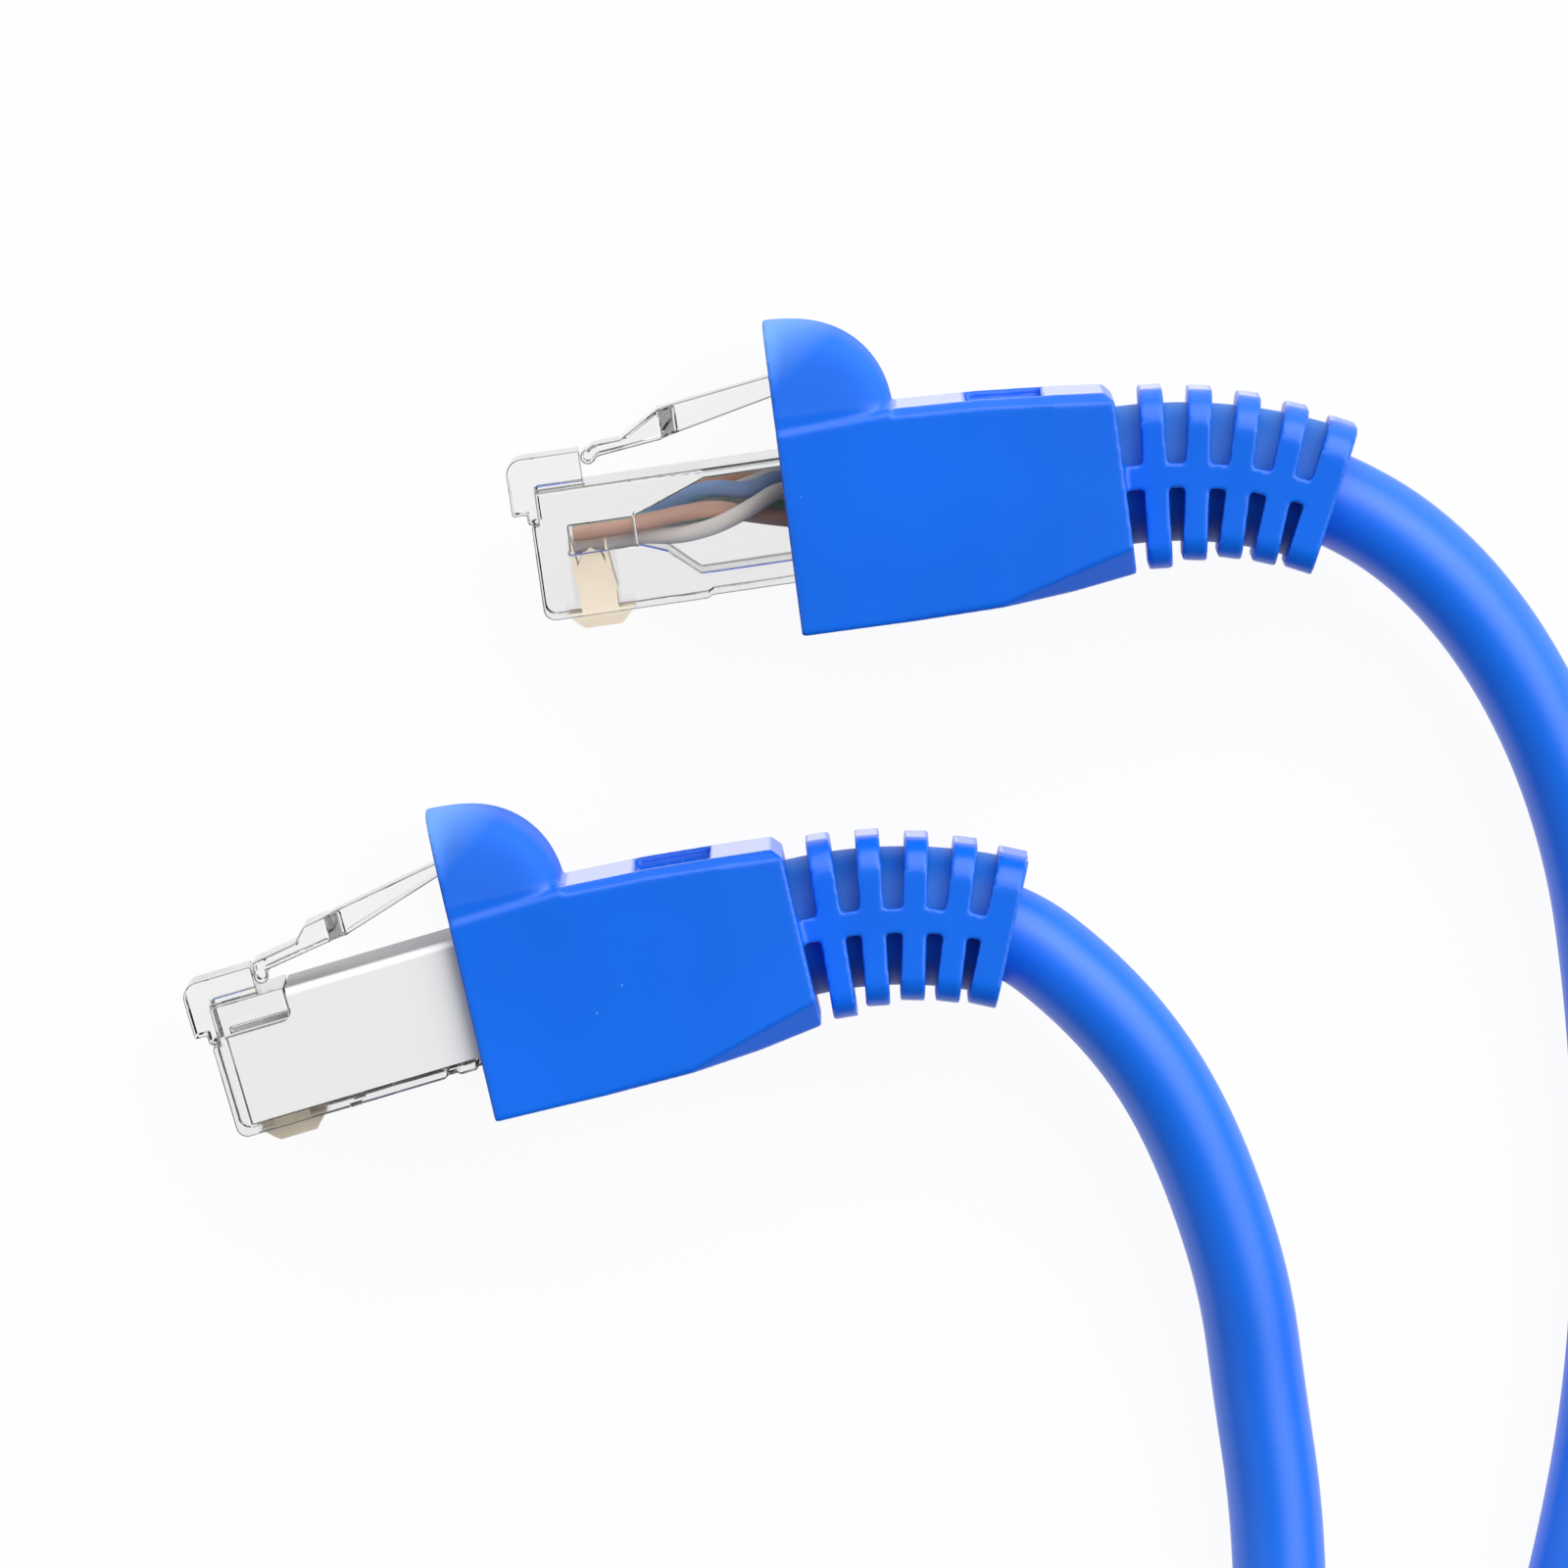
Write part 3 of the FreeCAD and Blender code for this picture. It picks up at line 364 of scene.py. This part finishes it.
def round_edges(name, side, body, width):
    """Puts a moulding with a small radius on its sharp edges in place of a CAD node."""
    mesh = joined_mesh(name)
    if name.startswith("housing"):
        fill_inner_slots(mesh, side)
    bmesh.ops.dissolve_limit(mesh, angle_limit=FLAT_ANGLE, verts=mesh.verts, edges=mesh.edges)
    bmesh.ops.recalc_face_normals(mesh, faces=mesh.faces)
    for face in mesh.faces:
        face.smooth = False
    weight = mesh.edges.layers.float.new("bevel_weight_edge")
    to_plug = plug_frames[side].inverted()
    for edge in mesh.edges:
        sharp = edge.is_manifold and edge.calc_face_angle() > SHARP_ANGLE
        if sharp and not all(in_slots(vertex.co, to_plug) for vertex in edge.verts):
            edge[weight] = 1.0
    data = bpy.data.meshes.new("rounded_" + name)
    mesh.to_mesh(data)
    mesh.free()
    stored_normals = data.attributes.get("custom_normal")
    if stored_normals is not None:
        data.attributes.remove(stored_normals)
    item = link("rounded_" + name, data)
    bevel = item.modifiers.new("edge_radius", "BEVEL")
    bevel.width = width
    bevel.segments = 3
    bevel.limit_method = "WEIGHT"
    bevel.use_clamp_overlap = False
    dress(item, clear)
    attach(item, body)
    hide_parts(name)


for side in ("a", "b"):
    round_edges("housing_" + side, side, "cable", HOUSING_RADIUS)
    round_edges("latch_" + side, side, "latch_" + side, LATCH_RADIUS)


# ---------------------------------------------------------------- cord

CORD_DIAMETER = 4.8
# Control points of the cord from boot a to the coil, then from the coil to boot b
ROUTE_A = (
    (26.81, 12.50, 6.80), (28.82, 11.79, 6.80), (32.20, 9.89, 6.75), (35.33, 7.01, 6.30), (38.08, 3.26, 5.60),
    (40.48, -1.54, 4.80), (42.18, -7.04, 3.95), (42.98, -12.34, 3.20), (43.53, -18.64, 2.70),
    (43.73, -26.64, 2.45), (42.98, -36.64, 2.40), (40.58, -47.64, 2.40), (36.88, -58.94, 2.40),
    (32.98, -69.94, 2.50), (30.18, -80.54, 2.70), (28.88, -89.64, 2.90),
)
ROUTE_B = (
    (7.58, -70.34, 7.60), (15.38, -67.24, 7.40), (21.38, -61.54, 5.20), (24.98, -54.44, 3.10),
    (26.28, -47.14, 2.50), (26.03, -40.44, 2.65), (25.13, -34.54, 3.10), (24.43, -29.24, 3.80),
    (22.93, -24.24, 4.60), (20.96, -19.59, 5.50), (18.53, -15.84, 6.30), (15.48, -12.69, 6.75),
    (12.32, -10.33, 6.80), (10.29, -9.87, 6.80),
)
COIL_CENTRE = (-0.02, -97.14)
# Radius and height of each turn of the coil, from the cord of boot a to the cord of boot b
COIL_TURNS = ((28.8, 2.9), (24.0, 2.9), (19.2, 2.9), (21.6, 7.06), (26.4, 7.06))
POINTS_A_TURN = 16
LAST_SHARE = 0.75
CROSSING_SHARE = 0.17


def coil_points():
    """Control points of the stored turns; each turn moves on to the next over the last part of its circle."""
    points = []
    spread = 8.0 / (6.0 + 2.0 * math.cos(2 * math.pi / POINTS_A_TURN))
    total = int(round((len(COIL_TURNS) - 1 + LAST_SHARE) * POINTS_A_TURN))
    for index in range(total + 1):
        turn, step = divmod(index, POINTS_A_TURN)
        radius, height = COIL_TURNS[turn]
        share = step / POINTS_A_TURN
        if turn + 1 < len(COIL_TURNS) and share > 1 - CROSSING_SHARE:
            along = (share - 1 + CROSSING_SHARE) / CROSSING_SHARE
            ease = along * along * (3 - 2 * along)
            radius += (COIL_TURNS[turn + 1][0] - radius) * ease
            height += (COIL_TURNS[turn + 1][1] - height) * ease
        angle = -2 * math.pi * index / POINTS_A_TURN
        points.append((COIL_CENTRE[0] + spread * radius * math.cos(angle),
                       COIL_CENTRE[1] + spread * radius * math.sin(angle), height))
    return points


def make_cord():
    curve = bpy.data.curves.new("patch_cord", "CURVE")
    curve.dimensions = "3D"
    spline = curve.splines.new("NURBS")
    points = [*ROUTE_A, *coil_points(), *ROUTE_B]
    spline.points.add(len(points) - 1)
    for point, (x, y, z) in zip(spline.points, points):
        point.co = (x * MM, y * MM, z * MM, 1.0)
    spline.order_u = 3
    spline.use_endpoint_u = True
    spline.resolution_u = 12
    curve.bevel_depth = CORD_DIAMETER / 2 * MM
    curve.bevel_resolution = 8
    curve.use_fill_caps = True
    curve.materials.append(cord_blue)
    cord = link("patch_cord", curve)
    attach(cord, "cable")
    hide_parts("cord_a", "cord_coil", "cord_b")


make_cord()


# ---------------------------------------------------------------- boots

VOXEL = 0.13
HOOD_ALONG = 6.1
HOOD_TALL = 5.4
HOOD_ACROSS = 6.62
HOOD_WALL = 1.1
HOOD_BASE = 10.62
HOOD_CURVE = 2.2
HOOD_LOWEST = math.radians(-7)
# Painted highlight on the hood's lip: it grows along this slope, from this distance, over this width
HIGHLIGHT_SLOPE = (0.57, 0.82)
HIGHLIGHT_START = 1.5
HIGHLIGHT_WIDTH = 2.4
BOOT_ROUGHNESS = 0.3
STRIP_ROUGHNESS = 0.1
HOOD_ROUGHNESS = 0.75
# How boxy the hood is across itself, over the boot and at its front lip
HOOD_REAR_POWER = 9.0
HOOD_LIP_POWER = 3.0


def hood_surface(shrink, rows=40, columns=56):
    """Rows of points of the hood's dome in the boot frame, made smaller by shrink."""
    along, tall, across = HOOD_ALONG - shrink, HOOD_TALL - shrink, HOOD_ACROSS - shrink
    grid = []
    for row in range(rows + 1):
        turn = HOOD_LOWEST + (math.pi / 2 - HOOD_LOWEST) * row / rows
        forward = math.cos(turn) ** (2 / HOOD_CURVE)
        upward = math.copysign(abs(math.sin(turn)) ** (2 / HOOD_CURVE), turn)
        lip = max(0.0, min(1.0, (turn - 0.7) / 0.8))
        power = HOOD_REAR_POWER + (HOOD_LIP_POWER - HOOD_REAR_POWER) * lip * lip * (3 - 2 * lip)
        line = []
        for column in range(columns + 1):
            side = math.pi * (column / columns - 0.5)
            out = abs(math.cos(side)) ** (2 / power)
            wide = math.copysign(abs(math.sin(side)) ** (2 / power), side)
            line.append(Vector((along * out * forward, HOOD_BASE + tall * out * upward, across * wide)))
        grid.append(line)
    return grid


def add_hood(mesh, matrix):
    """Closed shell of the hood: an outer and an inner dome, joined along their rims."""
    outer = hood_surface(0)
    inner = hood_surface(HOOD_WALL)
    layers = [[[mesh.verts.new(matrix @ (point * MM)) for point in line] for line in grid]
              for grid in (outer, inner)]
    rows, columns = len(outer) - 1, len(outer[0]) - 1
    for row in range(rows):
        for column in range(columns):
            a, b = layers
            mesh.faces.new((a[row][column], a[row][column + 1], a[row + 1][column + 1], a[row + 1][column]))
            mesh.faces.new((b[row][column], b[row + 1][column], b[row + 1][column + 1], b[row][column + 1]))
    a, b = layers
    for column in range(columns):
        mesh.faces.new((a[0][column + 1], a[0][column], b[0][column], b[0][column + 1]))
        mesh.faces.new((a[rows][column], a[rows][column + 1], b[rows][column + 1], b[rows][column]))
    for row in range(rows):
        mesh.faces.new((a[row][0], a[row + 1][0], b[row + 1][0], b[row][0]))
        mesh.faces.new((a[row + 1][columns], a[row][columns], b[row][columns], b[row + 1][columns]))


def mark_surface(mesh, boot_frame):
    """Writes where the painted highlight lies on the hood's lip and how rough each part of the moulding is,
    for the material.
    """
    to_boot = boot_frame.inverted()
    lip = mesh.attributes.new("lip", "FLOAT", "POINT")
    rough = mesh.attributes.new("rough", "FLOAT", "POINT")
    for index, vertex in enumerate(mesh.vertices):
        along, tall, _ = to_boot @ vertex.co / MM
        # Painted highlight on the hood's upper front lip, kept in the lip attribute.
        lip_highlight = (HIGHLIGHT_SLOPE[1] * (tall - HOOD_BASE) - HIGHLIGHT_SLOPE[0] * along - HIGHLIGHT_START) / HIGHLIGHT_WIDTH
        lip.data[index].value = max(0.0, min(1.0, lip_highlight))
        upwards = (to_boot.to_3x3() @ vertex.normal).y
        polished = max(0.0, min(1.0, (upwards - 0.9) / 0.08))
        hooded = max(0.0, min(1.0, (tall - HOOD_BASE - 0.5) / 0.4))
        base = BOOT_ROUGHNESS + (STRIP_ROUGHNESS - BOOT_ROUGHNESS) * polished
        rough.data[index].value = base + (HOOD_ROUGHNESS - base) * hooded


def make_boot(side):
    """Boot, strain relief and hood as one soft moulding."""
    mesh = joined_mesh("boot_" + side)
    add_hood(mesh, boot_frames[side])
    bmesh.ops.remove_doubles(mesh, verts=mesh.verts, dist=1e-7)
    bmesh.ops.recalc_face_normals(mesh, faces=mesh.faces)
    bmesh.ops.scale(mesh, vec=(1 / MM,) * 3, verts=mesh.verts)
    data = bpy.data.meshes.new("boot_raw_" + side)
    mesh.to_mesh(data)
    mesh.free()
    raw = link("boot_raw_" + side, data)
    remesh = raw.modifiers.new("remesh", "REMESH")
    remesh.mode = "VOXEL"
    remesh.voxel_size = VOXEL
    smooth = raw.modifiers.new("smooth", "SMOOTH")
    smooth.iterations = 2
    smooth.factor = 0.5
    graph = bpy.context.evaluated_depsgraph_get()
    final = bpy.data.meshes.new_from_object(raw.evaluated_get(graph))
    bpy.data.objects.remove(raw)
    final.transform(Matrix.Scale(MM, 4))
    for polygon in final.polygons:
        polygon.use_smooth = True
    mark_surface(final, boot_frames[side])
    boot = link("soft_boot_" + side, final)
    dress(boot, boot_blue)
    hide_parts("boot_" + side, "hood_" + side, "hood_skirt_" + side)
    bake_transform(boot)


for side in ("a", "b"):
    make_boot(side)


# ---------------------------------------------------------------- floor and light

floor_mesh = bpy.data.meshes.new("floor")
FLOOR_HALF = 3.0
floor_mesh.from_pydata([(-FLOOR_HALF, -FLOOR_HALF, 0), (FLOOR_HALF, -FLOOR_HALF, 0),
                        (FLOOR_HALF, FLOOR_HALF, 0), (-FLOOR_HALF, FLOOR_HALF, 0)], [], [(0, 1, 2, 3)])
floor = link("floor", floor_mesh)
floor_look = new_material("floor_white", Roughness=0.9, Emission_Strength=0.94)
shader_of(floor_look).inputs["Base Color"].default_value = (0.04, 0.04, 0.04, 1)
shader_of(floor_look).inputs["Emission Color"].default_value = (1, 1, 1, 1)
dress(floor, floor_look)

# Azimuth and elevation of each soft light, the angles where it starts and is full, and its strength
STUDIO_LIGHTS = (
    (12, 44, 38, 18, 2.1),
    (48, 36, 38, 18, 1.1),
    (82, 38, 38, 18, 2.1),
    (170, 40, 44, 20, 0.5),
)
ROOM_LEVEL = 0.08
SEEN_LEVEL = 0.95


def unit(azimuth, elevation):
    """Direction at an angle about Z and above the floor."""
    turn, rise = math.radians(azimuth), math.radians(elevation)
    return (math.cos(turn) * math.cos(rise), math.sin(turn) * math.cos(rise), math.sin(rise))


def make_studio():
    """Large soft lights up and to the right in a dim room; the camera itself sees a plain pale room."""
    world = bpy.data.worlds.new("studio")
    bpy.context.scene.world = world
    world.use_nodes = True
    tree = world.node_tree
    background = tree.nodes["Background"]
    direction = tree.nodes.new("ShaderNodeTexCoord").outputs["Generated"]
    total = None
    for azimuth, elevation, outer, inner, strength in STUDIO_LIGHTS:
        dot = tree.nodes.new("ShaderNodeVectorMath")
        dot.operation = "DOT_PRODUCT"
        tree.links.new(direction, dot.inputs[0])
        dot.inputs[1].default_value = unit(azimuth, elevation)
        ramp = tree.nodes.new("ShaderNodeMapRange")
        ramp.interpolation_type = "SMOOTHSTEP"
        tree.links.new(dot.outputs["Value"], ramp.inputs["Value"])
        ramp.inputs["From Min"].default_value = math.cos(math.radians(outer))
        ramp.inputs["From Max"].default_value = math.cos(math.radians(inner))
        ramp.inputs["To Min"].default_value = 0.0
        ramp.inputs["To Max"].default_value = strength
        level = ramp.outputs["Result"]
        if total is not None:
            both = tree.nodes.new("ShaderNodeMath")
            tree.links.new(total, both.inputs[0])
            tree.links.new(level, both.inputs[1])
            level = both.outputs[0]
        total = level
    room = tree.nodes.new("ShaderNodeMath")
    tree.links.new(total, room.inputs[0])
    room.inputs[1].default_value = ROOM_LEVEL
    path = tree.nodes.new("ShaderNodeLightPath")
    seen = tree.nodes.new("ShaderNodeMix")
    tree.links.new(path.outputs["Is Camera Ray"], seen.inputs[0])
    tree.links.new(room.outputs[0], seen.inputs[2])
    seen.inputs[3].default_value = SEEN_LEVEL
    tree.links.new(seen.outputs[0], background.inputs["Strength"])
    background.inputs["Color"].default_value = (1, 1, 1, 1)


make_studio()

bpy.context.scene.view_settings.view_transform = "Standard"
